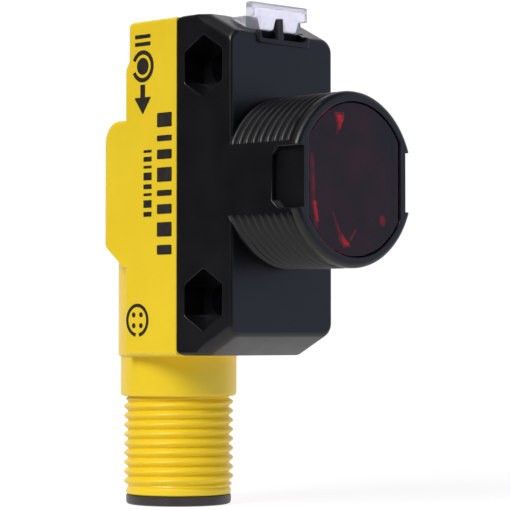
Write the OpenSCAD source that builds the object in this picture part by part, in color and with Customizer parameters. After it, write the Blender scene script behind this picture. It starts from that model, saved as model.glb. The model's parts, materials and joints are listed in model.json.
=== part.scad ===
// Miniature barrel-mount photoelectric emitter with a moulded round quick-disconnect connector.
// X runs across the width, -Y is the way the light leaves, +Z is up.
// The origin is where the lens axis meets the front face of the housing.

/* [Housing] */
// Width of the housing across X
body_w = 15; // [14.6:0.1:15.6]
// Height of the top face above the lens axis
top_z = 17.5; // [17.3:0.1:18]
// Depth of the bottom face below the lens axis
bottom_z = 17.8; // [17.4:0.1:18.4]
// Depth of the black front housing along Y
front_depth = 8.2; // [8:0.1:8.6]
// Distance from the front face to the rear wall
rear_y = 16.3; // [16:0.1:17]
// Distance from the front face to the back of the rear hump at its middle
hump_y = 22.3; // [22.2:0.1:22.8]
// The same distance at the sides of the hump, which is crowned
hump_side_y = 19.4; // [19:0.1:19.8]
// Depth along Y of the sloping facets at the top and the bottom of the front
facet_y = 4.1; // [3.6:0.1:4.4]
// Height along Z of the same facets
facet_z = 2.1; // [1.6:0.1:2.3]

/* [Barrel] */
// Major diameter of the barrel thread
barrel_d = 17.9; // [17.8:0.02:18]
// Length of the barrel from the front face to its rim
barrel_len = 10.3; // [9.8:0.1:11]
// Distance between the smooth side flats of the barrel
barrel_flats = 16.2; // [16:0.1:16.6]
// Depth of the thread groove
barrel_thread_depth = 0.6; // [0.4:0.05:0.6]

/* [Connector] */
// Distance from the front face to the axis of the connector
connector_y = 15.8; // [15.6:0.1:16.2]
// Major diameter of the connector thread
connector_d = 11.8; // [11.8:0.02:12]
// Length of the connector thread
connector_thread_len = 10.5; // [9.5:0.1:11]
// Length of the plain neck above the thread
neck_len = 4.4; // [4:0.1:5]
// Diameter of the plain neck
neck_d = 12.5; // [12.4:0.1:12.8]
// Diameter of the circle that the contact pins stand on
pin_circle_d = 5; // [4.8:0.1:5.2]
// Diameter of a contact pin
pin_d = 1; // [0.8:0.1:1]

/* [Mounting holes] */
// Diameter of the two side holes
hole_d = 3.3; // [3.1:0.1:3.4]
// Spacing of the two side holes
hole_pitch = 24.1; // [24:0.1:24.2]
// Distance from the front face to the axis of the side holes
hole_y = 4.15; // [4.1:0.05:4.2]
// Width across flats of the nut pockets
nut_flats = 5.6; // [5.5:0.05:5.7]
// Depth of the nut pockets
nut_depth = 2.8; // [2.5:0.1:2.9]

/* [Hidden] */

$fn = 96;
eps = 0.01;
// Play between a piece and the seat that it drops into
play = 0.05;
thread_pitch = 1;
thread_crest = 0.25;
wall = 1.25;
inner_w = body_w - 2 * wall;
hump_top = 5.5;
hump_bottom = -6.1;
crown_rise = hump_y - hump_side_y;
crown_r = (body_w * body_w / 4 + crown_rise * crown_rise) / (2 * crown_rise);
// The rear wall steps in a little near the top
top_step_y = 0.55;
top_step_z = 13.4;

// Barrel and window
window_r = 7.8;
window_flats = 13.3;
window_t = 1.1;
window_setback = 0.15;
bore_r = 7.3;
bore_flats = 12.6;
plain_rim = 1;
band_half_z = 3.6;
pocket_half_z = 3.05;
pocket_len = 3.9;
pocket_flats = 15;
pocket_corner = 0.8;
window_back = window_setback + window_t - barrel_len;

// Top indicator
indicator_w = 8.3;
indicator_floor = 15.9;
indicator_back = 4.3;
indicator_top = 18.7;
slot_w = 6.6;
slot_floor = 14.9;
lip_t = 0.5;
lip_proud = 0.25;

// Connector levels, downwards from the bottom face
neck_bottom = -bottom_z - neck_len;
thread_bottom = neck_bottom - connector_thread_len;
rim_t = 1.1;
connector_end = thread_bottom - rim_t;
connector_thread_depth = 0.55;
shell_r = 4.95;
rim_r = 5.65;
cup_r = 4.3;
cup_floor = connector_end + 8.4;
insert_top = neck_bottom - 0.3;
boss_r = 6.5;
boss_top = 3;
pin_tip = connector_end + 0.8;
pin_top = neck_bottom + 1.7;
potting_top = -bottom_z + 0.2;
pin_offset = pin_circle_d / 2 * sin(45);

// Board
board_front = 9.4;
board_t = 1;
board_back = board_front + board_t;
board_w = 12;
board_top = 15.8;
board_bottom = -15.6;
led_r = 2.5;
wire_r = 0.55;

// Extrudes an outline drawn in (Y, Z) to a width centred on X
module across(width)
    translate([width / 2, 0, 0]) rotate([90, 0, -90]) mirror([1, 0, 0]) linear_extrude(width) children();

// Extrudes an outline drawn in (X, Z) from one Y to another
module along(from_y, to_y)
    translate([0, to_y, 0]) rotate([90, 0, 0]) linear_extrude(to_y - from_y) children();

// Cylinder along Y
module rod_y(r, from_y, to_y)
    translate([0, to_y, 0]) rotate([90, 0, 0]) cylinder(h = to_y - from_y, r = r);

// Box between two opposite corners
module span(a, b)
    translate(a) cube([b[0] - a[0], b[1] - a[1], b[2] - a[2]]);

// Circle with two straight sides, drawn in (X, Z)
module flatted(r, flats)
    intersection() {
        circle(r);
        square([flats, 2 * r + 1], center = true);
    }

// Rectangle with round corners
module soft_rect(x0, y0, x1, y1, r)
    union() {
        translate([x0 + r, y0]) square([x1 - x0 - 2 * r, y1 - y0]);
        translate([x0, y0 + r]) square([x1 - x0, y1 - y0 - 2 * r]);
        for (x = [x0 + r, x1 - r], y = [y0 + r, y1 - r]) translate([x, y]) circle(r);
    }

// One turn of thread as a ring: a flat crest with sloping sides, drawn in (radius, height)
module ring_profile(r, depth)
    polygon([
        [r - depth - 0.2, 0], [r - depth, 0],
        [r, (thread_pitch - thread_crest) / 2], [r, (thread_pitch + thread_crest) / 2],
        [r - depth, thread_pitch], [r - depth - 0.2, thread_pitch]
    ]);

// Stack of thread rings that rises along Z from zero
module thread_rings(r, depth, count)
    union() {
        cylinder(h = count * thread_pitch, r = r - depth);
        for (i = [0 : count - 1])
            translate([0, 0, i * thread_pitch]) rotate_extrude() ring_profile(r, depth);
    }

// Limits shared by both halves of the housing: soft corners along the edges
module housing_envelope(from_y, to_y)
    along(from_y, to_y)
        soft_rect(-body_w / 2, -bottom_z, body_w / 2, top_z, 1);

module front_block()
    intersection() {
        across(body_w + 2) polygon([
            [0, facet_z - bottom_z], [0, top_z - facet_z], [facet_y, top_z],
            [front_depth, top_z], [front_depth, -bottom_z], [facet_y, -bottom_z]
        ]);
        housing_envelope(-1, front_depth + 1);
        translate([0, 0, -25]) linear_extrude(50)
            soft_rect(-body_w / 2, 0, body_w / 2, front_depth + 5, 0.5);
    }

// Threaded barrel with a plain rim and a smooth band down each side
module barrel_body() {
    r = barrel_d / 2;
    thread_len = barrel_len - plain_rim;
    intersection() {
        rotate([90, 0, 0]) union() {
            cylinder(h = thread_len, r = r - barrel_thread_depth);
            thread_rings(r, barrel_thread_depth, floor(thread_len));
        }
        span([-barrel_flats / 2, -thread_len, -r - 1], [barrel_flats / 2, 0, r + 1]);
    }
    span([-barrel_flats / 2, -thread_len, -band_half_z], [barrel_flats / 2, 0, band_half_z]);
    rod_y(r, -barrel_len, -thread_len);
    along(-1, 1) flatted(r - barrel_thread_depth, body_w - 1.4);
}

// Recess in the side of the barrel that runs out through its rim
module barrel_pocket()
    for (side = [-1, 1])
        translate([side * (pocket_flats / 2 + 2), 0, 0]) rotate([0, 90, 0])
            translate([0, 0, -2]) linear_extrude(4) polygon([
                [-pocket_half_z, -barrel_len - 1], [pocket_half_z, -barrel_len - 1],
                [pocket_half_z, pocket_len - barrel_len - pocket_corner],
                [pocket_half_z - pocket_corner, pocket_len - barrel_len],
                [pocket_corner - pocket_half_z, pocket_len - barrel_len],
                [-pocket_half_z, pocket_len - barrel_len - pocket_corner]
            ]);

// Side screw hole with a nut pocket at each end
module screw_hole(z)
    translate([0, hole_y, z]) rotate([0, 90, 0]) {
        cylinder(h = body_w + 2, d = hole_d, center = true);
        for (side = [-1, 1])
            translate([0, 0, side * (body_w / 2 - nut_depth / 2 + 0.5)])
                cylinder(h = nut_depth + 1, r = nut_flats / sqrt(3), $fn = 6, center = true);
    }

module front_housing()
    color("#26262c") difference() {
        union() {
            front_block();
            barrel_body();
            // Raised lip around the indicator slot
            along(-lip_proud, 0.4) difference() {
                span2([-slot_w / 2 - lip_t, slot_floor - lip_t], [slot_w / 2 + lip_t, top_z - facet_z]);
                span2([-slot_w / 2, slot_floor], [slot_w / 2, top_z]);
            }
            // Tongue that locates the rear housing
            along(front_depth - 0.5, front_depth + 0.9) difference() {
                soft_rect(-inner_w / 2 + play, -bottom_z + 1.4, inner_w / 2 - play, top_z - 1.4, 0.5);
                soft_rect(-inner_w / 2 + 0.7, -bottom_z + 2.05, inner_w / 2 - 0.7, top_z - 2.05, 0.3);
            }
        }
        along(-barrel_len - 1, window_back) flatted(window_r + play, window_flats + 2 * play);
        along(-barrel_len - 1, 1.6) flatted(bore_r, bore_flats);
        span([-inner_w / 2 + 0.1, 1.5, -8.2], [inner_w / 2 - 0.1, front_depth + 2, 8.2]);
        barrel_pocket();
        for (z = [-hole_pitch / 2, hole_pitch / 2]) screw_hole(z);
        span([-indicator_w / 2, -1, indicator_floor], [indicator_w / 2, indicator_back, top_z + 1]);
        span([-slot_w / 2, -1, slot_floor], [slot_w / 2, front_depth + 2, indicator_floor + 0.1]);
    }

// Rectangle between two opposite corners
module span2(a, b)
    translate(a) square([b[0] - a[0], b[1] - a[1]]);

module rear_block()
    intersection() {
        across(body_w + 2) polygon([
            [front_depth, -bottom_z], [front_depth, top_z], [rear_y - top_step_y, top_z],
            [rear_y - top_step_y, top_step_z], [rear_y, top_step_z - 0.8], [rear_y, -bottom_z]
        ]);
        housing_envelope(front_depth - 1, rear_y + 1);
        translate([0, 0, -25]) linear_extrude(50) soft_rect(-body_w / 2, 0, body_w / 2, rear_y, 0.5);
    }

// Hump across the back: crowned in plan, rounded above and sloping below
module hump_block(grow)
    intersection() {
        across(body_w + 2 * grow) polygon([
            [12, hump_top + grow], [hump_side_y - 1.8, hump_top + 1.4 + grow],
            [hump_side_y - 0.6, hump_top + 0.7 + grow], [hump_side_y + 0.1, hump_top - 0.6 + grow],
            [hump_y + 1, hump_top - 1.6 + grow], [hump_y + 1, hump_bottom + 2.9 - grow],
            [hump_side_y, hump_bottom - grow], [hump_side_y - 3, hump_bottom - 2.4 - grow],
            [12, hump_bottom - 2.4 - grow]
        ]);
        translate([0, hump_y - crown_r, -15]) cylinder(h = 30, r = crown_r + grow);
    }

module rear_housing()
    color("#f6dd1c") difference() {
        union() {
            rear_block();
            hump_block(0);
            translate([0, connector_y, -bottom_z]) cylinder(h = bottom_z + boss_top, r = boss_r);
            translate([0, connector_y, neck_bottom]) cylinder(h = neck_len + 1, r = neck_d / 2);
            translate([0, connector_y, thread_bottom])
                cylinder(h = connector_thread_len + eps, r = connector_d / 2 - connector_thread_depth);
            translate([0, connector_y, neck_bottom - floor(connector_thread_len)])
                thread_rings(connector_d / 2, connector_thread_depth, floor(connector_thread_len));
        }
        along(front_depth - 1, rear_y - top_step_y - wall)
            soft_rect(-inner_w / 2, -bottom_z + 1.35, inner_w / 2, top_z - 1.35, 0.5);
        hump_block(-wall);
        translate([0, connector_y, -bottom_z + 1.35])
            cylinder(h = bottom_z - 1.35 + boss_top - wall, r = boss_r - wall);
        translate([0, connector_y, thread_bottom - 1]) cylinder(h = 20, r = shell_r);
    }

module front_window()
    color("#5a0f18") along(window_back - window_t, window_back) flatted(window_r, window_flats);

// Clear cap over the indicator, with two lens legs and a light guide that runs back to the board
module indicator_window()
    color("#e6ecf2") union() {
        across(indicator_w - 2 * play) polygon([
            [0.4, 17.2], [0.4, indicator_top], [1.3, indicator_top], [3.4, 17.75], [indicator_back - play, 17.6],
            [indicator_back - play, indicator_floor + play], [1.7, indicator_floor + play], [1.7, 17.2]
        ]);
        for (side = [-1, 1])
            along(0.5, 1.7 + eps) translate([side * 1.95, 0])
                polygon([[-1.35, 17.2 + eps], [-0.8, indicator_floor], [0.8, indicator_floor], [1.35, 17.2 + eps]]);
        span([-3, 2, slot_floor + play], [-1, indicator_back - play, indicator_floor + 0.1]);
        span([-3, 2, slot_floor + play], [-1, front_depth, indicator_floor - play]);
    }

// Dark frame that parts the two lens legs
module indicator_baffle()
    color("#1c1c20") difference() {
        span([-slot_w / 2 + play, 0.1, slot_floor + play], [slot_w / 2 - play, 1.6, indicator_floor - play]);
        for (side = [-1, 1])
            span([side * 1.95 - 1, -1, slot_floor + 0.5], [side * 1.95 + 1, 1, indicator_floor + 1]);
    }

module lens_holder()
    color("#303036") difference() {
        union() {
            along(-8.9, -5.6) flatted(bore_r - play, bore_flats - 2 * play);
            rod_y(5.9, -5.6 - eps, 4);
            rod_y(4.4, 4 - eps, board_front - play);
        }
        rod_y(5.6, -9, -6);
        rod_y(5.1, -6 - eps, 3);
        rod_y(led_r + 0.6, 2.9, board_front + 1);
    }

module collimating_lens()
    color("#c9d4dd") intersection() {
        rod_y(5.6 - play, -8.8, -6 - play);
        translate([0, -8.7 + 8, 0]) sphere(8);
    }

// Round-nosed emitting diode that looks out through the lens
module emitter_led()
    color("#9db4c4") union() {
        rod_y(led_r, 6.2, board_front - 0.9);
        rod_y(led_r + 0.4, board_front - 0.9, board_front - 0.1);
        intersection() {
            translate([0, 6.2, 0]) sphere(led_r);
            rod_y(led_r + 1, 2, 6.3);
        }
    }

module led_leads()
    color("#c8c8c4") for (x = [-1.27, 1.27])
        translate([x, 0, 0]) rod_y(0.25, board_front - 0.1, board_back + 0.8);

module main_board()
    color("#1f6b3a") difference() {
        span([-board_w / 2, board_front, board_bottom], [board_w / 2, board_back, board_top]);
        for (x = [-1.27, 1.27]) translate([x, 0, 0]) rod_y(0.3, board_front - 1, board_back + 1);
        translate([pin_offset, 0, wire_high_z()]) rod_y(wire_r + play, board_front - 1, board_back + 1);
        translate([-pin_offset, 0, wire_low_z()]) rod_y(wire_r + play, board_front - 1, board_back + 1);
    }

module power_led()
    color("#5fd35f") union() {
        span([-2.8, board_front - 0.5, 14.95], [-1.2, board_front, 15.75]);
        span([-2.5, board_front - 0.8, 15.05], [-1.5, board_front - 0.5 + eps, 15.65]);
    }

// Flat package with rows of leads on its two short sides
module flat_package(size, leads, lead_pitch)
    union() {
        translate([-size[0] / 2, 0.1, -size[2] / 2]) cube([size[0], size[1], size[2]]);
        for (side = [-1, 1], i = [0 : leads - 1])
            translate([side * (size[0] / 2 + 0.4) - 0.45, 0, (i - (leads - 1) / 2) * lead_pitch - 0.2])
                cube([0.9, 0.25, 0.4]);
    }

module driver_ic()
    color("#2a2a2e") translate([0, board_back, 6.5]) flat_package([3.9, 1.5, 4.9], 4, 1.27);

module regulator_ic()
    color("#2a2a2e") translate([2.6, board_back, -3.4]) flat_package([2.2, 1.1, 2.9], 2, 1.9);

module drive_transistor()
    color("#2a2a2e") translate([-3.2, board_back, 1.9]) flat_package([1.3, 0.95, 2.9], 2, 1.9);

module protection_diode()
    color("#2a2a2e") translate([-2.6, board_back, -3.6]) flat_package([2.6, 2, 3.8], 1, 1);

module bulk_capacitor()
    color("#d2a23c") span([-1.8, board_back, 11.2], [1.8, board_back + 1.9, 14]);

// Small two-ended chip parts, each at its own (X, Z)
module chip_parts(places, size)
    for (p = places)
        translate([p[0] - size[0] / 2, board_back, p[1] - size[2] / 2]) cube(size);

module chip_capacitors()
    color("#b98f5e") chip_parts([[-4.4, 11], [4.4, 11], [4.2, 2.2], [1.2, 1.9], [-4.6, -8]], [0.9, 0.8, 1.6]);

module chip_resistors()
    color("#3a3a40") chip_parts([[-4.4, 13.6], [4.4, 13.6], [4.2, -7.6], [2.4, -7.6], [-2.9, -8]], [0.8, 0.5, 1.6]);

// Dark insulator: a deep cup with a floor for the pins, a key rib and a flange under the thread
module connector_insert()
    color("#2b2b2b") translate([0, connector_y, 0]) difference() {
        union() {
            translate([0, 0, connector_end]) cylinder(h = rim_t - play, r = rim_r);
            translate([0, 0, connector_end]) cylinder(h = insert_top - connector_end, r = shell_r - play);
        }
        difference() {
            translate([0, 0, connector_end - 1]) cylinder(h = cup_floor - connector_end + 1, r = cup_r);
            span([-0.6, -cup_r - 1, connector_end - 2], [0.6, -cup_r + 0.6, cup_floor + 1]);
        }
        for (a = [45 : 90 : 315]) rotate([0, 0, a])
            translate([pin_circle_d / 2, 0, cup_floor - 1]) cylinder(h = 10, d = pin_d + 0.04);
    }

// Round-nosed contact pin at one corner of the pin square
module contact_pin(angle)
    color("#d9b35a") translate([0, connector_y, 0]) rotate([0, 0, angle])
        translate([pin_circle_d / 2, 0, 0]) {
            translate([0, 0, pin_tip + pin_d / 2]) cylinder(h = pin_top - pin_tip - pin_d / 2, d = pin_d);
            translate([0, 0, pin_tip + pin_d / 2]) sphere(pin_d / 2);
        }

module contact_pin_1() contact_pin(45);
module contact_pin_2() contact_pin(135);
module contact_pin_3() contact_pin(225);
module contact_pin_4() contact_pin(315);

// Levels at which the two leads reach the board
function wire_high_z() = -9.8;
function wire_low_z() = -12.6;

// Lead from a pin top, straight up, round a bend and forwards into the board
module lead(x, y, z, bend)
    translate([x, 0, 0]) union() {
        translate([0, y, pin_top]) cylinder(h = z - bend - pin_top, r = wire_r);
        translate([0, y - bend, z - bend]) rotate([90, 0, 90])
            rotate_extrude(angle = 90) translate([bend, 0]) circle(wire_r);
        translate([0, 0, z]) rod_y(wire_r, board_front, y - bend);
    }

module lead_brown() color("#7a4a26") lead(pin_offset, connector_y + pin_offset, wire_high_z(), 2);
module lead_blue() color("#2f5fb0") lead(-pin_offset, connector_y - pin_offset, wire_low_z(), 1.6);

// Resin that seals the back of the pins into the neck
module connector_potting()
    color("#3b3b35") translate([0, connector_y, 0]) difference() {
        translate([0, 0, insert_top]) cylinder(h = potting_top - insert_top, r = shell_r - play);
        for (a = [45 : 90 : 315]) rotate([0, 0, a]) translate([pin_circle_d / 2, 0, insert_top - 1])
            cylinder(h = pin_top - insert_top + 1 + play, d = pin_d + 0.04);
        for (a = [45, 225]) rotate([0, 0, a]) translate([pin_circle_d / 2, 0, pin_top])
            cylinder(h = 10, r = wire_r + 0.02);
    }

front_housing();
rear_housing();
front_window();
indicator_window();
indicator_baffle();
lens_holder();
collimating_lens();
emitter_led();
led_leads();
main_board();
power_led();
driver_ic();
regulator_ic();
drive_transistor();
protection_diode();
bulk_capacitor();
chip_capacitors();
chip_resistors();
connector_insert();
contact_pin_1();
contact_pin_2();
contact_pin_3();
contact_pin_4();
lead_brown();
lead_blue();
connector_potting();
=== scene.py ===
import json
import math

import bmesh
import bpy
from mathutils import Matrix, Vector


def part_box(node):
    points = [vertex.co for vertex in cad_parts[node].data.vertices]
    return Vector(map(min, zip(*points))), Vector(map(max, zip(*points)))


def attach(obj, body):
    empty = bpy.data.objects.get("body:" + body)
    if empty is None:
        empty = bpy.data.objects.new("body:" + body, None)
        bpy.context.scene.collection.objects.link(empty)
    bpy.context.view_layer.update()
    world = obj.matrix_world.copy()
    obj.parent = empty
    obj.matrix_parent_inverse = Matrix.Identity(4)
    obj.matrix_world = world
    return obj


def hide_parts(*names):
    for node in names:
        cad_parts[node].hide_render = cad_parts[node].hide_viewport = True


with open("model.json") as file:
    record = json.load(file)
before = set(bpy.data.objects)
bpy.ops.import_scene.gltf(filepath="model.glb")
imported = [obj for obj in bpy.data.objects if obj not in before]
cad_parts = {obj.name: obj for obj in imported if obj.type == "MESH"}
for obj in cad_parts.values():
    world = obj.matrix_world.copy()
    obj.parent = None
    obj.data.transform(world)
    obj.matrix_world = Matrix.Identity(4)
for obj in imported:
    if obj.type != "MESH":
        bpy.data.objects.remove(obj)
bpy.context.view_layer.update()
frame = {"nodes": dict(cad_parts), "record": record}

# Miniature photoelectric emitter: detailed housings, window, indicator, connector and printed marks
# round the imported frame. Shapes are built in millimetres and scaled to metres when each is finished.
# X runs across, Y back from the lens and Z up; the barrel's axis meets the face of the block at the origin.
MM = 0.001


def box_mm(node):
    low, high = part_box(node)
    return low / MM, high / MM


# ---------------------------------------------------------------- sizes in mm
# Boxes and mounts come from the frame, and most of the sizes below build on them
FRONT_LOW = box_mm("front_housing")[0]
REAR_LOW, REAR_HIGH = box_mm("rear_housing")
WINDOW_LOW, WINDOW_HIGH = box_mm("front_window")
CAP_LOW, CAP_HIGH = box_mm("indicator_window")
BAFFLE_HIGH = box_mm("indicator_baffle")[1]
INSERT_LOW, INSERT_HIGH = box_mm("connector_insert")
MOUNTS = {mount["name"]: mount for mount in frame["record"]["mounts"]}

# How far a cutter runs past what it cuts, the play round a fitted part, and a hair's breadth
PAST = 1
PLAY = 0.05
HAIR = 0.02

# Block that both housings make up
HALF_W = abs(MOUNTS["right_side_face"]["pos_m"][0]) / MM
TOP = REAR_HIGH.z
BOTTOM = FRONT_LOW.z
SPLIT_Y = REAR_LOW.y
WALL = 1.25
END_WALL = 1.35

# Front block: sloped facets above and below its face, eased edges, a fine seam at its back
FACET_Y = 4.1
FACET_Z = 2.1
BLOCK_EASE = 0.4
BLOCK_CORNER = 1.3
BLOCK_FADE = 1.0
BLOCK_CORNER_BACK = 0.4
SPLIT_ROUND = 1.15
SEAM = 0.12
CAVITY_FRONT = 1.5
CAVITY_X = 6.15
CAVITY_Z = 8.2
CAVITY_CORNER = 0.6

# Barrel: flatted thread, plain rim, side bands with pockets, bore and window seat
BARREL_R = MOUNTS["barrel_thread"]["dims"]["r_mm"]
BARREL_DEPTH = 0.43
BARREL_FLAT = 8.1
BARREL_END = -FRONT_LOW.y
RIM_T = 1.0
RIM_EASE = 0.6
BAND_HALF = 3.6
BAND_LAP = 0.4
BAND_ROOT = 0.6
WAIST_X = 7
WAIST_T = 3
POCKET_HALF = 3.05
POCKET_LEN = 3.9
POCKET_FLOOR = 7.5
POCKET_CORNER = 0.8
POCKET_EASE = 0.14
BORE_R = 7.3
BORE_FLAT = 6.3
BORE_END = 1.2
BORE_SKIN = 0.15
SEAT_GAP = 0.09
SEAT_EASE = 0.13
WINDOW_EASE = 0.15

# Side holes with a nut pocket at each end
HOLE_Y = MOUNTS["side_holes"]["pos_m"][1] / MM
HOLE_Z = MOUNTS["side_holes"]["dims"]["spacing_y_mm"] / 2
HOLE_R = MOUNTS["side_holes"]["dims"]["hole_r_mm"]
NUT_R = 5.6 / math.sqrt(3)
NUT_DEPTH = 2.8
NUT_CORNER = 0.45
NUT_EASE = 0.1

# Rear block with its crowned hump
REAR_Y = 16.3
STEP_Y = 0.55
STEP_Z = 13.4
STEP_SLOPE = 0.8
SEAM_EASE = 0.14
TOP_EASE = 0.8
UNDER_EASE = 0.3
STEP_EASE = 0.45
SIDE_EASE = 0.35
BACK_EASE = 0.5
HUMP_Y = REAR_HIGH.y
HUMP_SIDE_Y = 19.4
HUMP_ROOT_Y = 12
HUMP_TOP = 7.2
HUMP_BOTTOM = -6.1
HUMP_ROUND = 2.3
HUMP_SIDE_ROUND = 0.5
HUMP_CORNER = 1.0
HUMP_RISE = 2.9
HUMP_FOOT_Y = 3
HUMP_FOOT_Z = 2.4
HUMP_SLOPE_ROUND = 1.2
HUMP_FOOT_ROUND = 0.8

# Indicator: recess and slot in the block, lip round the slot, cap, frosted band and legs, slot insert
RECESS_HALF = CAP_HIGH.x + PLAY
RECESS_FLOOR = BAFFLE_HIGH.z + PLAY
RECESS_BACK = 4.3
RECESS_CORNER = 0.25
SLOT_HALF = BAFFLE_HIGH.x + PLAY
SLOT_FLOOR = CAP_LOW.z - PLAY
SLOT_CORNER = 0.3
LIP_T = 0.5
LIP_PROUD = 0.25
LIP_CORNER = 0.35
LIP_EASE = 0.2
FIN_Y = CAP_LOW.y
FIN_BACK = 1.35
FIN_BASE = 17.2
COVER_TOP = 17.3
CAP_EASE = 0.1
END_T = 0.4
BAND_TOP = 18.1
LEG_Y = 0.9
LEG_X = 1.68
LEG_HALF_TOP = 1.2
LEG_HALF_TIP = 0.78
GUIDE_X = (-3, -1)
GUIDE_Y = 2
PLATE_BACK = BAFFLE_HIGH.y
PLATE_T = 0.65
PLATE_EDGE = 0.1
POST_Y = 0.15
POST_HALF_FOOT = 0.34
POST_HALF_TIP = 0.2

# Neck, connector thread and insert
CONNECTOR_Y = MOUNTS["connector_thread"]["pos_m"][1] / MM
CONNECTOR_R = MOUNTS["connector_thread"]["dims"]["r_mm"]
CONNECTOR_DEPTH = 0.47
CONNECTOR_START = 0.01
NECK_R = 6.25
NECK_BOTTOM = BOTTOM - 4.4
BOSS_R = 6.5
BOSS_TOP = 3
SHELL_R = 4.95
RIM_TOP = REAR_LOW.z
INSERT_RIM_R = INSERT_HIGH.x
CUP_R = 4.3
CUP_DEPTH = 8.4
KEY_HALF = 0.6
WELL_GAP = 0.2
WELL_DEPTH = 0.25

# One pitch of thread as (part of the pitch, part of the depth): a round crest between soft grooves.
# Near its ends the thread stops short by THREAD_PLAIN and fades over THREAD_FADE.
THREAD_PITCH = 1.0
THREAD_ROWS = 10
THREAD_POWER = 1.6
THREAD_FORM = [
    (i / THREAD_ROWS, math.sin(math.pi * i / THREAD_ROWS) ** THREAD_POWER) for i in range(THREAD_ROWS)
]
THREAD_FADE = 0.35
THREAD_PLAIN = 0.25

# Print on the left side, with its places in (Y, Z)
INK_T = 0.03
INK_ROOT = 0.05
INK_CORNER = 0.06
EMITTER_AT = (13.35, 12.7)
ARROW_TIP = 7.6
ARROW_BASE = 9.4
PINS_AT = (14.15, -14.1)
PIN_DOTS = 4
BAR_SPAN = (8.85, 11.1)
BAR_TOP = 7.6
BAR_GAP = 0.88
BAR_HEIGHTS = (1.5, 0.6, 1.0, 1.5, 0.6, 1.0, 1.5, 1.0)
TICK_SPAN = (11.95, 13.2)
TICK_TOP = 3.8
TICK_GAP = 0.44
TICK_HEIGHTS = (0.28, 0.5, 0.28, 0.8, 0.5, 0.28, 0.8, 0.5)

# Camera fitted to the photo, in degrees and mm, and the brightness of floor and world
CAMERA_AZIMUTH = -44.834
CAMERA_ELEVATION = -1.924
CAMERA_DISTANCE = 250.42
CAMERA_AIM = Vector((-0.877, 3.218, -7.320))
CAMERA_LENS = 169.53
CAMERA_SENSOR = 36
FLOOR_R = 75
FLOOR_T = 2
FLOOR_GLOW = 0.7
FLOOR_SEEN = 0.87
WORLD_SEEN = 1.05
WORLD_DIM = 0.05
WORLD_BRIGHT = 1.0
WORLD_SIDE = 0.66

# Distances in mm below which points count as one or as level, and angles in degrees that make an edge
TINY = 1e-6
MERGE = 1e-5
WELD = 2e-4
LEVEL_SLACK = 0.03
BEND_ANGLE = 14
SHARP_ANGLE = 40


# ---------------------------------------------------------------- mesh helpers
PLACE = {
    "X": lambda a, b, level: (level, a, b),
    "Y": lambda a, b, level: (a, level, b),
    "Z": lambda a, b, level: (a, b, level),
}


def solid(bm):
    """Object from a bmesh, with its faces turned outwards."""
    bmesh.ops.recalc_face_normals(bm, faces=bm.faces)
    mesh = bpy.data.meshes.new("solid")
    bm.to_mesh(mesh)
    bm.free()
    obj = bpy.data.objects.new("solid", mesh)
    bpy.context.scene.collection.objects.link(obj)
    return obj


def loft(axis, sections):
    """Closed solid through outlines with equal counts, each at its own level along an axis."""
    bm = bmesh.new()
    rows = [[bm.verts.new(PLACE[axis](a, b, level)) for a, b in outline] for level, outline in sections]
    count = len(rows[0])
    for low, high in zip(rows, rows[1:]):
        for i in range(count):
            j = (i + 1) % count
            bm.faces.new((low[i], low[j], high[j], high[i]))
    bm.faces.new(rows[0])
    bm.faces.new(rows[-1])
    return solid(bm)


def prism(axis, outline, low, high):
    return loft(axis, [(low, outline), (high, outline)])


def quarter(ease, steps=4):
    """Steps round a quarter turn as (depth below the face, distance from the wall), from deep to the face."""
    turns = [math.pi / 2 * i / steps for i in range(steps + 1)]
    return [(ease * (1 - math.sin(turn)), ease * (1 - math.cos(turn))) for turn in turns]


def eased_cutter(axis, outline_at, deep, face, ease):
    """Cutter from deep out past a face that leaves a round edge there; outline_at(grow) draws it."""
    out = math.copysign(1, face - deep)
    sections = [(deep, outline_at(0))]
    sections += [(face - out * depth, outline_at(away)) for depth, away in quarter(ease)]
    sections.append((face + out * PAST, outline_at(ease)))
    return loft(axis, sections)


def eased_prism(axis, outline_at, base, face, ease):
    """Prism from a base to a face, with a round edge at the face; outline_at(grow) draws it."""
    out = math.copysign(1, face - base)
    sections = [(base, outline_at(0))]
    sections += [(face - out * depth, outline_at(-away)) for depth, away in quarter(ease)]
    return loft(axis, sections)


def rect(a0, b0, a1, b1):
    return [(a0, b0), (a1, b0), (a1, b1), (a0, b1)]


def circle(radius, count, centre=(0, 0), flat=None):
    """Points of a circle; flat limits how far they go along the first axis."""
    points = []
    for i in range(count):
        angle = 2 * math.pi * (i + 0.5) / count
        a = radius * math.cos(angle)
        if flat:
            a = max(-flat, min(flat, a))
        points.append((centre[0] + a, centre[1] + radius * math.sin(angle)))
    return points


def hexagon(radius, centre):
    """Hexagon with a corner straight up."""
    turns = [math.pi * i / 3 for i in range(6)]
    return [(centre[0] + radius * math.sin(turn), centre[1] + radius * math.cos(turn)) for turn in turns]


def rounded(corners, radius, steps=6):
    """Outline with round corners; radius is one value, or one for each corner."""
    radii = radius if isinstance(radius, (list, tuple)) else [radius] * len(corners)
    outline = []
    for i, r in enumerate(radii):
        here = Vector(corners[i])
        back = (Vector(corners[i - 1]) - here).normalized()
        ahead = (Vector(corners[(i + 1) % len(corners)]) - here).normalized()
        if r <= 0:
            outline.append(tuple(here))
            continue
        half = back.angle(ahead) / 2
        centre = here + (back + ahead).normalized() * (r / math.sin(half))
        start = here + back * (r / math.tan(half)) - centre
        end = here + ahead * (r / math.tan(half)) - centre
        turn = math.atan2(start.x * end.y - start.y * end.x, start.dot(end))
        for k in range(steps + 1):
            outline.append(tuple(centre + Matrix.Rotation(turn * k / steps, 2) @ start))
    return outline


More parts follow.
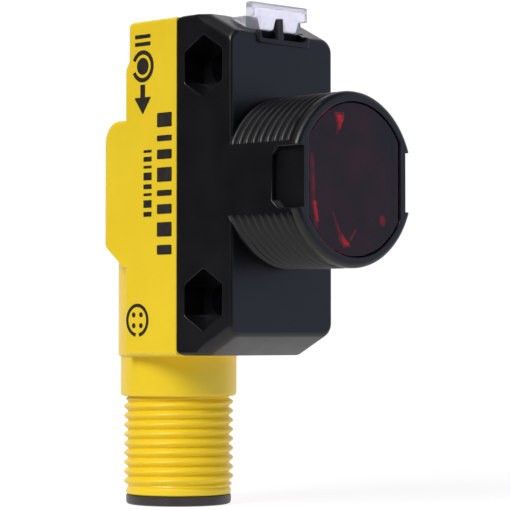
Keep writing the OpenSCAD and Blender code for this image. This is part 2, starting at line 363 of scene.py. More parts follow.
def lathe(profile, centre, steps):
    """Solid turned round a vertical axis; the profile runs from the axis out and back to the axis."""
    bm = bmesh.new()
    rows = []
    for radius, level in profile:
        if radius < TINY:
            rows.append([bm.verts.new((centre[0], centre[1], level))] * steps)
        else:
            rows.append([bm.verts.new((x, y, level)) for x, y in circle(radius, steps, centre)])
    for low, high in zip(rows, rows[1:]):
        for i in range(steps):
            j = (i + 1) % steps
            corners = []
            for vert in (low[i], low[j], high[j], high[i]):
                if vert not in corners:
                    corners.append(vert)
            bm.faces.new(corners)
    return solid(bm)


def threaded_rod(radius, depth, length, steps, flat=None):
    """Rod up Z from zero with a right-hand thread that fades out at both ends."""
    rows = len(THREAD_FORM)
    turns = math.ceil(length / THREAD_PITCH)
    count = (turns + 2) * rows + 1
    bm = bmesh.new()
    columns = []
    for i in range(steps):
        angle = 2 * math.pi * i / steps
        column = []
        for k in range(count):
            part, height = THREAD_FORM[k % rows]
            level = THREAD_PITCH * (i / steps - 1 + k // rows + part)
            level = max(0.0, min(length, level))
            fade = max(0.0, min(1.0, (min(level, length - level) - THREAD_PLAIN) / THREAD_FADE))
            r = radius - depth + depth * height * fade
            x = r * math.cos(angle)
            if flat:
                x = max(-flat, min(flat, x))
            column.append(bm.verts.new((x, r * math.sin(angle), level)))
        columns.append(column)
    for i in range(steps):
        here = columns[i]
        ahead = columns[i + 1] if i + 1 < steps else columns[0][rows:]
        for k in range(len(ahead) - 1):
            bm.faces.new((here[k], ahead[k], ahead[k + 1], here[k + 1]))
    bmesh.ops.remove_doubles(bm, verts=bm.verts, dist=MERGE)
    bmesh.ops.dissolve_degenerate(bm, dist=MERGE, edges=bm.edges)
    for level in (0.0, length):
        ring = [v for v in bm.verts if abs(v.co.z - level) < TINY]
        ring.sort(key=lambda v: math.atan2(v.co.y, v.co.x))
        bm.faces.new(ring)
    return solid(bm)


def turn_and_move(obj, angle, axis, shift):
    """Turns a solid about the origin, then moves it."""
    obj.data.transform(Matrix.Translation(shift) @ Matrix.Rotation(angle, 4, axis))


def settle(obj):
    """Applies the modifiers."""
    bpy.context.view_layer.update()
    graph = bpy.context.evaluated_depsgraph_get()
    mesh = bpy.data.meshes.new_from_object(obj.evaluated_get(graph))
    obj.modifiers.clear()
    obj.data = mesh


def combine(base, operation, others):
    """Joins, cuts or trims the base by each of the others, and uses the others up."""
    for other in others:
        modifier = base.modifiers.new(operation, "BOOLEAN")
        modifier.operation = operation
        modifier.solver = "EXACT"
        modifier.object = other
        settle(base)
        bpy.data.objects.remove(other)
    return base


def soften(obj, width_of, segments=3):
    """Rounds each edge for which width_of(one end, other end) gives a width."""
    bm = bmesh.new()
    bm.from_mesh(obj.data)
    weights = bm.edges.layers.float.new("bevel_weight_edge")
    chosen = {}
    for edge in bm.edges:
        if len(edge.link_faces) == 2 and edge.calc_face_angle(0) > math.radians(BEND_ANGLE):
            width = width_of(edge.verts[0].co, edge.verts[1].co)
            if width:
                chosen[edge] = width
    widest = max(chosen.values())
    for edge, width in chosen.items():
        edge[weights] = width / widest
    bm.to_mesh(obj.data)
    modifier = obj.modifiers.new("bevel", "BEVEL")
    modifier.limit_method = "WEIGHT"
    modifier.width = widest
    modifier.segments = segments
    modifier.use_clamp_overlap = False
    settle(obj)
    obj.data.attributes.remove(obj.data.attributes["bevel_weight_edge"])
    bm.free()


def near(value, target):
    return abs(value - target) < LEVEL_SLACK


def soften_at(obj, axis, levels, width):
    """Rounds the edges that lie wholly at one of the levels along an axis."""

    def width_of(a, b):
        return width if any(near(a[axis], level) and near(b[axis], level) for level in levels) else 0

    soften(obj, width_of)


def finish(obj, name, material, nodes=()):
    """Names, scales and shades a finished piece, attaches it to the root body and hides the CAD parts it
    replaces.
    """
    obj.name = name
    obj.data.name = name
    bm = bmesh.new()
    bm.from_mesh(obj.data)
    bmesh.ops.remove_doubles(bm, verts=bm.verts, dist=WELD)
    bmesh.ops.dissolve_degenerate(bm, dist=WELD, edges=bm.edges)
    bm.to_mesh(obj.data)
    bm.free()
    obj.data.transform(Matrix.Scale(MM, 4))
    obj.data.materials.clear()
    obj.data.materials.append(material)
    for polygon in obj.data.polygons:
        polygon.use_smooth = True
        polygon.material_index = 0
    obj.data.set_sharp_from_angle(angle=math.radians(SHARP_ANGLE))
    normals = obj.modifiers.new("normals", "WEIGHTED_NORMAL")
    normals.keep_sharp = True
    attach(obj, "root")
    if nodes:
        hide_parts(*nodes)


# ---------------------------------------------------------------- materials
# The middle stretch of a noise, which colours and values are spread over
NOISE_LOW = 0.3
NOISE_HIGH = 0.7
# Size of the faint waves in a surface, as a multiple of the size of its tint
WAVE_SIZE = 1.6


def new_material(name):
    material = bpy.data.materials.new(name)
    material.use_nodes = True
    tree = material.node_tree
    tree.nodes.clear()
    output = tree.nodes.new("ShaderNodeOutputMaterial")
    shader = tree.nodes.new("ShaderNodeBsdfPrincipled")
    tree.links.new(shader.outputs["BSDF"], output.inputs["Surface"])
    return material, tree, shader


def noise(tree, size_mm, detail=3.0, stretch=(1, 1, 1)):
    """Noise with features of about size_mm, laid in object space."""
    coordinates = tree.nodes.new("ShaderNodeTexCoord")
    mapping = tree.nodes.new("ShaderNodeMapping")
    mapping.inputs["Scale"].default_value = stretch
    texture = tree.nodes.new("ShaderNodeTexNoise")
    texture.inputs["Scale"].default_value = 1 / (size_mm * MM)
    texture.inputs["Detail"].default_value = detail
    tree.links.new(coordinates.outputs["Object"], mapping.inputs["Vector"])
    tree.links.new(mapping.outputs["Vector"], texture.inputs["Vector"])
    return texture.outputs["Fac"]


def blend_colours(tree, factor, low, high):
    """Colour that runs from low to high over the middle of a noise."""
    ramp = tree.nodes.new("ShaderNodeValToRGB")
    ramp.color_ramp.elements[0].position = NOISE_LOW
    ramp.color_ramp.elements[1].position = NOISE_HIGH
    ramp.color_ramp.elements[0].color = (*low, 1)
    ramp.color_ramp.elements[1].color = (*high, 1)
    tree.links.new(factor, ramp.inputs["Fac"])
    return ramp.outputs["Color"]


def value_range(tree, factor, low, high):
    """Value that runs from low to high over the middle of a noise."""
    spread = tree.nodes.new("ShaderNodeMapRange")
    spread.inputs["From Min"].default_value = NOISE_LOW
    spread.inputs["From Max"].default_value = NOISE_HIGH
    spread.inputs["To Min"].default_value = low
    spread.inputs["To Max"].default_value = high
    tree.links.new(factor, spread.inputs["Value"])
    return spread.outputs["Result"]


def bump(tree, height, depth_mm, under=None):
    node = tree.nodes.new("ShaderNodeBump")
    node.inputs["Distance"].default_value = depth_mm * MM
    node.inputs["Strength"].default_value = 1.0
    tree.links.new(height, node.inputs["Height"])
    if under is not None:
        tree.links.new(under, node.inputs["Normal"])
    return node.outputs["Normal"]


def surface(
    name, low, high, rough, tint_mm=2.5, grain_mm=0.2, grain_depth=0.004, wave_depth=0.01,
    stretch=(1, 1, 1), **fixed,
):
    """Moulded or cast finish with drifting tint, uneven gloss, fine grain and faint waves.

    fixed sets the shader's own sockets, with underscores for the spaces in their names.
    """
    material, tree, shader = new_material(name)
    tint = noise(tree, tint_mm, detail=4.0, stretch=stretch)
    grain = noise(tree, grain_mm, detail=2.0, stretch=stretch)
    wave = noise(tree, tint_mm * WAVE_SIZE, detail=1.0)
    tree.links.new(blend_colours(tree, tint, low, high), shader.inputs["Base Color"])
    tree.links.new(value_range(tree, wave, *rough), shader.inputs["Roughness"])
    normal = bump(tree, grain, grain_depth, bump(tree, wave, wave_depth))
    tree.links.new(normal, shader.inputs["Normal"])
    for socket, value in fixed.items():
        shader.inputs[socket.replace("_", " ")].default_value = value
    return material


def add_glow(material, size_mm, detail, low, high):
    """Gives a material an emission colour that drifts from low to high; its strength is a fixed socket."""
    tree = material.node_tree
    glow = blend_colours(tree, noise(tree, size_mm, detail), low, high)
    tree.links.new(glow, tree.nodes["Principled BSDF"].inputs["Emission Color"])
    return material


def painted_glint_material(name, dark, bright, strength):
    """Painted red reflection for inside the window: a glowing material, brighter and dimmer from place to
    place.
    """
    painted_glint = surface(
        name, dark, bright, (0.2, 0.35), tint_mm=0.7, grain_depth=0.002, Emission_Strength=strength,
    )
    return add_glow(painted_glint, size_mm=0.9, detail=2.0, low=dark, high=bright)


BLACK = surface(
    "black_moulded", (0.0024, 0.0023, 0.0034), (0.0040, 0.0038, 0.0052), (0.3, 0.4), tint_mm=3,
    grain_mm=0.22, grain_depth=0.006, Specular_IOR_Level=0.42,
)
YELLOW = surface(
    "yellow_moulded", (0.88, 0.62, 0.016), (0.93, 0.66, 0.022), (0.33, 0.43), tint_mm=5,
    grain_mm=0.25, grain_depth=0.005,
)
# Red acrylic with painted glow: a faint red emission in drifting patches stands in for red light reflected
# inside the window
RED_ACRYLIC_PAINTED_GLOW = surface(
    "red_acrylic", (0.05, 0.002, 0.006), (0.14, 0.004, 0.012), (0.015, 0.04), tint_mm=4,
    grain_depth=0.0004, wave_depth=0.004, Transmission_Weight=1.0, IOR=1.41, Emission_Strength=0.007,
)
add_glow(RED_ACRYLIC_PAINTED_GLOW, size_mm=3.2, detail=1.0, low=(0.0, 0.0, 0.0), high=(1.0, 0.05, 0.25))
CLEAR = surface(
    "clear_polycarbonate", (0.86, 0.86, 0.93), (0.93, 0.93, 0.98), (0.03, 0.09), tint_mm=1.5,
    grain_depth=0.001, wave_depth=0.01, Transmission_Weight=0.72, IOR=1.58,
)
# Frosted polycarbonate with painted light: a white emission stands in for light carried down the band and
# legs
FROSTED_PAINTED_GLOW = surface(
    "frosted_polycarbonate_painted_glow", (0.74, 0.72, 0.82), (0.93, 0.92, 0.99), (0.1, 0.2), tint_mm=0.8,
    grain_depth=0.001, wave_depth=0.01, Transmission_Weight=0.15, IOR=1.58,
    Emission_Color=(0.90, 0.87, 0.93, 1), Emission_Strength=0.36,
)
LENS = surface(
    "clear_acrylic", (0.86, 0.9, 0.93), (0.93, 0.95, 0.97), (0.01, 0.03), tint_mm=3,
    grain_depth=0.0003, wave_depth=0.001, Transmission_Weight=1.0, IOR=1.49,
)
# Painted highlights: glowing red materials that stand in for reflections inside the window
PAINTED_GLINT = painted_glint_material("painted_red_glint_bright", (0.25, 0.002, 0.01), (1.0, 0.015, 0.06), 1.3)
PAINTED_FAINT_GLINT = painted_glint_material("painted_red_glint_faint", (0.08, 0.001, 0.008), (0.5, 0.006, 0.035), 0.6)
INK = surface(
    "black_ink", (0.010, 0.008, 0.007), (0.022, 0.018, 0.014), (0.42, 0.6), tint_mm=0.5,
    grain_mm=0.12, grain_depth=0.004, wave_depth=0.002,
)
NYLON = surface(
    "black_nylon", (0.012, 0.012, 0.013), (0.022, 0.021, 0.022), (0.42, 0.55), tint_mm=1.2,
    grain_mm=0.16, grain_depth=0.006,
)
DARK_NYLON = surface(
    "dark_nylon", (0.02, 0.017, 0.018), (0.034, 0.029, 0.03), (0.36, 0.5), tint_mm=1.4,
    grain_mm=0.18, grain_depth=0.006,
)
EPOXY = surface(
    "diode_epoxy", (0.62, 0.72, 0.8), (0.78, 0.86, 0.92), (0.05, 0.12), tint_mm=1.2,
    grain_depth=0.0008, Transmission_Weight=0.75, IOR=1.53,
)
TINNED = surface(
    "tinned_leads", (0.55, 0.55, 0.53), (0.72, 0.72, 0.7), (0.22, 0.4), tint_mm=0.3,
    grain_mm=0.08, Metallic=1.0,
)
GREEN_LED = surface(
    "green_led", (0.1, 0.42, 0.1), (0.2, 0.62, 0.18), (0.15, 0.3), tint_mm=0.5, grain_mm=0.1,
)
CHIP = surface(
    "chip_black", (0.013, 0.013, 0.014), (0.028, 0.028, 0.03), (0.45, 0.62), tint_mm=0.6,
    grain_mm=0.07, grain_depth=0.004,
)
TANTALUM = surface(
    "tantalum_case", (0.56, 0.33, 0.06), (0.68, 0.43, 0.1), (0.4, 0.55), tint_mm=0.8, grain_mm=0.09,
)
CERAMIC = surface(
    "ceramic_tan", (0.34, 0.21, 0.1), (0.46, 0.3, 0.16), (0.35, 0.5), tint_mm=0.4, grain_mm=0.06,
)
RESISTOR = surface(
    "resistor_black", (0.016, 0.016, 0.018), (0.034, 0.034, 0.038), (0.25, 0.4), tint_mm=0.4,
    grain_mm=0.06,
)
GOLD = surface(
    "gold_plate", (0.83, 0.56, 0.2), (0.95, 0.7, 0.32), (0.14, 0.28), tint_mm=0.5,
    grain_mm=0.06, grain_depth=0.001, stretch=(1, 1, 0.2), Metallic=1.0,
)
BROWN = surface(
    "brown_insulation", (0.14, 0.055, 0.02), (0.19, 0.08, 0.03), (0.38, 0.5), tint_mm=0.8, grain_mm=0.1,
)
BLUE = surface(
    "blue_insulation", (0.02, 0.09, 0.33), (0.035, 0.13, 0.43), (0.38, 0.5), tint_mm=0.8, grain_mm=0.1,
)
POTTING = surface(
    "potting_resin", (0.03, 0.028, 0.022), (0.055, 0.05, 0.04), (0.12, 0.3), tint_mm=1.5,
    grain_depth=0.002, wave_depth=0.04,
)


def circuit_board():
    """Green solder mask that rises and pales in square cells, as it does over copper areas."""
    material, tree, shader = new_material("circuit_board")
    cell_mm = 1.4
    coordinates = tree.nodes.new("ShaderNodeTexCoord")
    cells = tree.nodes.new("ShaderNodeTexVoronoi")
    cells.distance = "CHEBYCHEV"
    cells.inputs["Scale"].default_value = 1 / (cell_mm * MM)
    tree.links.new(coordinates.outputs["Object"], cells.inputs["Vector"])
    mask = blend_colours(tree, cells.outputs["Distance"], (0.014, 0.16, 0.05), (0.03, 0.3, 0.09))
    gloss = value_range(tree, noise(tree, 0.4), 0.2, 0.38)
    rise = bump(tree, value_range(tree, cells.outputs["Distance"], 0.0, 1.0), depth_mm=0.02)
    tree.links.new(mask, shader.inputs["Base Color"])
    tree.links.new(gloss, shader.inputs["Roughness"])
    tree.links.new(rise, shader.inputs["Normal"])
    return material


# CAD nodes that stay in the picture take their material from their slot
SLOT_MATERIALS = {
    "black_nylon": NYLON, "clear_acrylic_lens": LENS, "diode_epoxy": EPOXY, "tinned_leads": TINNED,
    "circuit_board": circuit_board(), "green_led": GREEN_LED, "chip_black": CHIP,
    "tantalum_case": TANTALUM, "ceramic_tan": CERAMIC, "resistor_black": RESISTOR,
    "gold_plate": GOLD, "brown_insulation": BROWN, "blue_insulation": BLUE, "potting_resin": POTTING,
}
for subpart in frame["record"]["subparts"]:
    if subpart["material_slot"] in SLOT_MATERIALS:
        obj = frame["nodes"][subpart["node"]]
        obj.data.materials.clear()
        obj.data.materials.append(SLOT_MATERIALS[subpart["material_slot"]])


# ---------------------------------------------------------------- front housing
def block_outline(y, inset):
    """Outline of the front block at a depth, in (X, Z), with facets at the front and tight corners behind."""
    slope = FACET_Z * max(0.0, 1 - y / FACET_Y)
    half = HALF_W - inset
    radius = (BLOCK_CORNER if y <= FACET_Y else BLOCK_CORNER_BACK) - inset
    return rounded(rect(-half, BOTTOM + slope + inset, half, TOP - slope - inset), radius, steps=7)


def front_block():
    """Front block as a loft from its face to the seam, trimmed to round its top and bottom at the back."""
    sections = [(depth, block_outline(depth, away)) for depth, away in reversed(quarter(BLOCK_EASE))]
    sections += [(y, block_outline(y, 0)) for y in (FACET_Y, FACET_Y + BLOCK_FADE, SPLIT_Y - SEAM)]
    sections.append((SPLIT_Y, block_outline(SPLIT_Y, SEAM)))
    over = HAIR / 2
    turn_y = SPLIT_Y - 2
    side = [
        (-PAST, BOTTOM - PAST), (-PAST, TOP + PAST), (FACET_Y, TOP + PAST), (turn_y, TOP + over),
        (SPLIT_Y + over, TOP + over), (SPLIT_Y + over, BOTTOM - over), (turn_y, BOTTOM - over),
        (FACET_Y, BOTTOM - PAST),
    ]
    radii = (0, 0, 0, 0, SPLIT_ROUND, SPLIT_ROUND, 0, 0)
    trim = prism("X", rounded(side, radii), -HALF_W - PAST, HALF_W + PAST)
    return combine(loft("Y", sections), "INTERSECT", [trim])


def barrel_outline(grow):
    return circle(BARREL_R + grow, 160)


def pocket_outline(grow):
    """Side pocket of the barrel in (Y, Z), open at the front and with cut corners behind."""
    front = -BARREL_END
    back = front + POCKET_LEN
    half = POCKET_HALF + grow
    return [
        (front - PAST, -half), (front - PAST, half), (back - POCKET_CORNER, half),
        (back + grow, half - POCKET_CORNER), (back + grow, POCKET_CORNER - half),
        (back - POCKET_CORNER, -half),
    ]


def window_seat(grow):
    return circle(WINDOW_HIGH.z + SEAT_GAP + grow, 160, flat=WINDOW_HIGH.x + SEAT_GAP + grow)


def barrel_bore():
    """Cutter for the flatted bore, from in front of the barrel into the block."""
    return prism("Y", circle(BORE_R, 128, flat=BORE_FLAT), -BARREL_END - PAST, BORE_END)


def barrel_core():
    """Rim, side bands and window seat of the barrel, with the side pockets cut and the edges eased."""
    front = -BARREL_END
    core = eased_prism("Y", barrel_outline, front + RIM_T, front, RIM_EASE)
    band = rect(-BARREL_FLAT, -BAND_HALF, BARREL_FLAT, BAND_HALF)
    combine(core, "UNION", [prism("Y", band, front + RIM_T - BAND_LAP, BAND_ROOT)])
    cutters = [
        eased_cutter("X", pocket_outline, side * POCKET_FLOOR, side * BARREL_FLAT, POCKET_EASE)
        for side in (-1, 1)
    ]
    cutters.append(eased_cutter("Y", window_seat, WINDOW_HIGH.y, front, SEAT_EASE))
    cutters.append(barrel_bore())
    return combine(core, "DIFFERENCE", cutters)


def barrel():
    """Whole barrel: the threaded rod, cut away at its waist for the side bands, and the core."""
    root = 0.25
    lap = 0.05
    rod = threaded_rod(BARREL_R, BARREL_DEPTH, BARREL_END - RIM_T + root + lap, 144, flat=BARREL_FLAT)
    turn_and_move(rod, math.pi / 2, "X", (0, root, 0))
    half = BAND_HALF - BAND_LAP
    waist = [
        prism("Y", rect(x, -half, x + WAIST_T, half), -BARREL_END - PAST, PAST)
        for x in (-WAIST_X - WAIST_T, WAIST_X)
    ]
    combine(rod, "DIFFERENCE", waist + [barrel_bore()])
    return combine(barrel_core(), "UNION", [rod])


def slot_lip():
    """Raised pad on the face of the block, which the indicator slot leaves as a frame."""
    half = SLOT_HALF + LIP_T
    lap = 0.15
    root = 0.5
    frame_outline = rect(-half, SLOT_FLOOR - LIP_T, half, TOP - FACET_Z + lap)
    lip = prism("Y", rounded(frame_outline, (LIP_CORNER, LIP_CORNER, 0, 0)), -LIP_PROUD, root)
    soften_at(lip, 1, [-LIP_PROUD], LIP_EASE)
    return lip


def nut_pocket(side, z):
    """Cutter for a hexagonal nut pocket in a side face, at one of the side holes."""

    def outline(grow):
        return rounded(hexagon(NUT_R + grow * 2 / math.sqrt(3), (HOLE_Y, z)), NUT_CORNER, steps=4)

    return eased_cutter("X", outline, side * (HALF_W - NUT_DEPTH), side * HALF_W, NUT_EASE)


def front_housing():
    """Black front half: block, barrel and slot lip, hollowed and bored."""
    shell = combine(front_block(), "UNION", [barrel(), slot_lip()])
    bore = circle(BORE_R - BORE_SKIN, 128, flat=BORE_FLAT - BORE_SKIN)
    cavity = rounded(rect(-CAVITY_X, -CAVITY_Z, CAVITY_X, CAVITY_Z), CAVITY_CORNER)
    cutters = [
        prism("Y", bore, -PAST, CAVITY_FRONT + 0.1),
        prism("Y", cavity, CAVITY_FRONT, SPLIT_Y + PAST),
    ]
    for z in (-HOLE_Z, HOLE_Z):
        cutters.append(prism("X", circle(HOLE_R, 48, (HOLE_Y, z)), -HALF_W - PAST, HALF_W + PAST))
        cutters += [nut_pocket(side, z) for side in (-1, 1)]
    recess = rounded(rect(-PAST, RECESS_FLOOR, RECESS_BACK, TOP + PAST), (0, RECESS_CORNER, 0, 0))
    slot_top = RECESS_FLOOR + 0.6
    slot = rounded(rect(-SLOT_HALF, SLOT_FLOOR, SLOT_HALF, slot_top), (SLOT_CORNER, SLOT_CORNER, 0, 0))
    cutters.append(prism("X", recess, -RECESS_HALF, RECESS_HALF))
    cutters.append(prism("Y", slot, -PAST, SPLIT_Y + PAST))
    combine(shell, "DIFFERENCE", cutters)
    finish(shell, "front_housing_shell", BLACK, ["front_housing"])


# ---------------------------------------------------------------- rear housing
def hump_plan(inset_x, inset_y):
    """Outline of the crowned hump in plan, drawn in by insets from its sides and its back."""
    half = HALF_W - inset_x
    rise = HUMP_Y - HUMP_SIDE_Y
    crown = (HALF_W ** 2 + rise ** 2) / (2 * rise)
    centre_y = HUMP_Y - inset_y - crown
    reach = math.asin(half / crown)
    steps = 32
    turns = [reach * (1 - 2 * i / steps) for i in range(steps + 1)]
    arc = [(crown * math.sin(turn), centre_y + crown * math.cos(turn)) for turn in turns]
    # The corner takes the place of the arc's last short steps
    arc = arc[:1] + arc[4:-4] + arc[-1:]
    radii = [0, 0, HUMP_CORNER] + [0] * (len(arc) - 2) + [HUMP_CORNER]
    return rounded([(-half, HUMP_ROOT_Y), (half, HUMP_ROOT_Y)] + arc, radii, steps=5)


def hump(wall):
    """Hump across the back, rounded along its top and sloping below; wall draws every face in."""
    top = HUMP_TOP - wall
    sections = [(HUMP_BOTTOM - 4 * PAST, hump_plan(wall, wall))]
    steps = 8
    for i in range(steps + 1):
        turn = math.pi / 2 * i / steps
        level = top - HUMP_ROUND + HUMP_ROUND * math.sin(turn)
        over = max(0.0, (level - top + HUMP_SIDE_ROUND) / HUMP_SIDE_ROUND)
        inset_x = HUMP_SIDE_ROUND * (1 - math.sqrt(1 - min(1.0, over) ** 2))
        inset_y = HUMP_ROUND * (1 - math.cos(turn))
        sections.append((level, hump_plan(wall + inset_x, wall + inset_y)))
    low = HUMP_BOTTOM + wall
    side = [
        (HUMP_ROOT_Y, TOP), (HUMP_Y + PAST, TOP), (HUMP_Y + PAST, low + HUMP_RISE), (HUMP_SIDE_Y, low),
        (HUMP_SIDE_Y - HUMP_FOOT_Y, low - HUMP_FOOT_Z), (HUMP_ROOT_Y, low - HUMP_FOOT_Z),
    ]
    radii = (0, 0, 0, HUMP_SLOPE_ROUND, HUMP_FOOT_ROUND, 0)
    trim = prism("X", rounded(side, radii), -HALF_W - 2 * PAST, HALF_W + 2 * PAST)
    return combine(loft("Z", sections), "INTERSECT", [trim])


def rear_block_ease(a, b):
    """Width of the round on an edge of the rear block: fine at the seam, broad along the top of the back."""
    run = b - a
    longer = 1
    if abs(run.y) > longer:
        return SIDE_EASE
    if near(a.y, SPLIT_Y):
        return SEAM_EASE
    if abs(run.x) <= longer:
        return BACK_EASE
    if near(a.z, TOP):
        return TOP_EASE
    return UNDER_EASE if near(a.z, BOTTOM) else STEP_EASE


def rear_block():
    step = REAR_Y - STEP_Y
    side = [
        (SPLIT_Y, BOTTOM), (SPLIT_Y, TOP), (step, TOP), (step, STEP_Z), (REAR_Y, STEP_Z - STEP_SLOPE),
        (REAR_Y, BOTTOM),
    ]
    block = prism("X", side, -HALF_W, HALF_W)
    soften(block, rear_block_ease, segments=4)
    return block


def connector_stem():
    """Boss, neck and connector tube in one turned piece, with the thread round the tube."""
    root = CONNECTOR_R - CONNECTOR_DEPTH
    core = root - 0.1
    tail = root + 0.2
    boss_low = BOTTOM - 0.12
    stem = lathe(
        [(0, RIM_TOP), (tail - 0.1, RIM_TOP), (tail, RIM_TOP + 0.1), (tail, RIM_TOP + 0.55),
         (core, RIM_TOP + 0.9), (core, NECK_BOTTOM), (NECK_R - 0.35, NECK_BOTTOM),
         (NECK_R - 0.1, NECK_BOTTOM + 0.1), (NECK_R, NECK_BOTTOM + 0.35), (NECK_R, boss_low),
         (BOSS_R - 0.15, boss_low), (BOSS_R, BOTTOM + 0.05), (BOSS_R, BOSS_TOP - 0.9),
         (BOSS_R - 0.3, BOSS_TOP - 0.3), (BOSS_R - 0.9, BOSS_TOP), (0, BOSS_TOP)],
        (0, CONNECTOR_Y), 128,
    )
    low = RIM_TOP + 0.5
    lap = 0.2
    rod = threaded_rod(CONNECTOR_R, CONNECTOR_DEPTH, NECK_BOTTOM - low + lap, 128)
    turn_and_move(rod, CONNECTOR_START, "Z", (0, CONNECTOR_Y, low))
    return combine(stem, "UNION", [rod])


def rear_housing():
    """Yellow rear half: block, hump and connector stem, hollowed."""
    shell = combine(rear_block(), "UNION", [hump(0), connector_stem()])
    inner = HALF_W - WALL
    floor_z = BOTTOM + END_WALL
    centre = (0, CONNECTOR_Y)
    cavity = rounded(rect(-inner, floor_z, inner, TOP - END_WALL), CAVITY_CORNER - 0.1)
    cutters = [
        prism("Y", cavity, SPLIT_Y - PAST, REAR_Y - STEP_Y - WALL),
        hump(END_WALL),
        prism("Z", circle(BOSS_R - WALL, 64, centre), floor_z, BOSS_TOP - WALL),
        prism("Z", circle(SHELL_R, 96, centre), RIM_TOP - PAST, BOTTOM + 2),
    ]
    combine(shell, "DIFFERENCE", cutters)
    finish(shell, "rear_housing_shell", YELLOW, ["rear_housing"])


# ---------------------------------------------------------------- window
def front_window():
    """Red filter plate: flatted disc with eased edges."""
    plate = prism("Y", circle(WINDOW_HIGH.z, 160, flat=WINDOW_HIGH.x), WINDOW_LOW.y, WINDOW_HIGH.y)
    soften_at(plate, 1, [WINDOW_LOW.y], WINDOW_EASE)
    finish(plate, "front_window_plate", RED_ACRYLIC_PAINTED_GLOW, ["front_window"])


# Painted red glints in (X, Z), glowing shapes that stand in for reflections inside the window: a wedge above
# the middle, one below it, and a line at the lower left edge
PAINTED_BRIGHT_GLINTS = [
    [(-2.3, 6.35), (-1.45, 6.4), (-1.6, 5.9), (-1.9, 5.3), (-2.1, 4.9), (-2.05, 5.6)],
    [(-1.75, -5.6), (-1.2, -6.15), (-0.65, -6.6), (-1.25, -6.65), (-1.7, -6.1)],
    [(-5.74, -2.3), (-5.58, -2.4), (-5.2, -4.45), (-5.44, -4.2)],
]
# Fainter painted glints: lines left and right of the lower wedge, a long line at the left edge, a spot at the
# right
PAINTED_FAINT_GLINTS = [
    [(-3.1, -3.4), (-2.98, -3.4), (-1.85, -5.5), (-2.1, -5.45)],
    [(-0.6, -6.2), (-0.42, -6.2), (0.45, -5.0), (0.3, -5.0)],
    [(-6.14, 2.4), (-5.86, 2.4), (-5.68, -0.5), (-5.62, -2.1), (-5.98, -1.8)],
    [(4.0, -3.6), (4.5, -3.45), (4.75, -4.1), (4.5, -4.6), (4.1, -4.4)],
]
# Depth of the painted glints behind the face of the plate, their thickness, and the size and depth of their
# halos
PAINTED_GLINT_BELOW = 0.12
PAINTED_GLINT_T = 0.3
HALO_SIZE = 1.5
HALO_BACK = 0.4
FAINT_BACK = 0.1


def grown(outline, factor):
    """Outline scaled about its middle."""
    middle = sum((Vector(corner) for corner in outline), Vector((0, 0))) / len(outline)
    return [tuple(middle + (Vector(corner) - middle) * factor) for corner in outline]


def add_painted_glints(name, outlines, material, back):
    """Small glowing shapes inside the plate, at a distance behind its face: painted red reflections."""
    low = WINDOW_LOW.y + PAINTED_GLINT_BELOW + back
    facets = [prism("Y", outline, low, low + PAINTED_GLINT_T) for outline in outlines]
    combine(facets[0], "UNION", facets[1:])
    finish(facets[0], name, material)


# ---------------------------------------------------------------- indicator
def indicator_cap():
    """Clear cap over the top indicator: a fin with two end walls, a low cover behind it and a light guide."""
    back = RECESS_BACK - PLAY
    base = RECESS_FLOOR + PLAY
    left, right = CAP_LOW.x, CAP_HIGH.x
    ridge = [
        (FIN_Y, BAND_TOP + HAIR), (FIN_Y, CAP_HIGH.z), (FIN_BACK, CAP_HIGH.z), (FIN_BACK, BAND_TOP + HAIR),
    ]
    ridge = prism("X", rounded(ridge, (0.14, 0.16, 0.22, 0.14), steps=4), left, right)
    cover = [(FIN_BACK, base), (FIN_BACK, COVER_TOP), (back, COVER_TOP), (back, base)]
    cover = prism("X", rounded(cover, (0.14, 0.2, 0.2, 0.14), steps=4), left, right)
    for part in (ridge, cover):
        soften_at(part, 0, [left, right], CAP_EASE)
    end = rounded(rect(FIN_Y + HAIR, FIN_BASE, FIN_BACK - HAIR, BAND_TOP + 0.3), 0.1, steps=3)
    ends = [prism("X", end, low, low + END_T) for low in (left + HAIR, right - HAIR - END_T)]
    combine(ridge, "UNION", ends)
    guide_left, guide_right = GUIDE_X
    guide = rect(guide_left, SLOT_FLOOR + PLAY, guide_right, RECESS_FLOOR + 0.2)
    inset = 0.1
    pipe = rect(guide_left + inset, SLOT_FLOOR + inset, guide_right - inset, RECESS_FLOOR - PLAY)
    joined = [
        ridge, prism("Y", guide, GUIDE_Y, back - inset), prism("Y", pipe, GUIDE_Y + 0.2, CAP_HIGH.y),
    ]
    combine(cover, "UNION", joined)
    finish(cover, "indicator_cap", CLEAR, ["indicator_window"])


def band_outline(grow):
    """Frosted band between the end walls of the fin, in (X, Z)."""
    half = CAP_HIGH.x - END_T - 2 * HAIR + grow
    return rounded(rect(-half, FIN_BASE - grow, half, BAND_TOP - 2 * HAIR + grow), 0.1, steps=3)


def tapered_leg(middle):
    """Frosted leg down into the slot, narrower at its foot."""
    top = FIN_BASE + 0.06
    foot = RECESS_FLOOR + PLAY

    def outline(grow):
        corners = [
            (middle - LEG_HALF_TOP - grow, top), (middle - LEG_HALF_TIP - grow, foot - grow),
            (middle + LEG_HALF_TIP + grow, foot - grow), (middle + LEG_HALF_TOP + grow, top),
        ]
        return rounded(corners, (0, 0.2, 0.2, 0), steps=4)

    return eased_prism("Y", outline, LEG_Y, FIN_Y + PLAY, 0.14)


def indicator_legs():
    """Frosted band across the front of the fin, with two tapered legs under it; their material glows with
    painted light.
    """
    band = eased_prism("Y", band_outline, FIN_BACK - 0.03, FIN_Y, 0.06)
    combine(band, "UNION", [tapered_leg(side * LEG_X) for side in (-1, 1)])
    finish(band, "indicator_lens_legs", FROSTED_PAINTED_GLOW, ["indicator_window"])


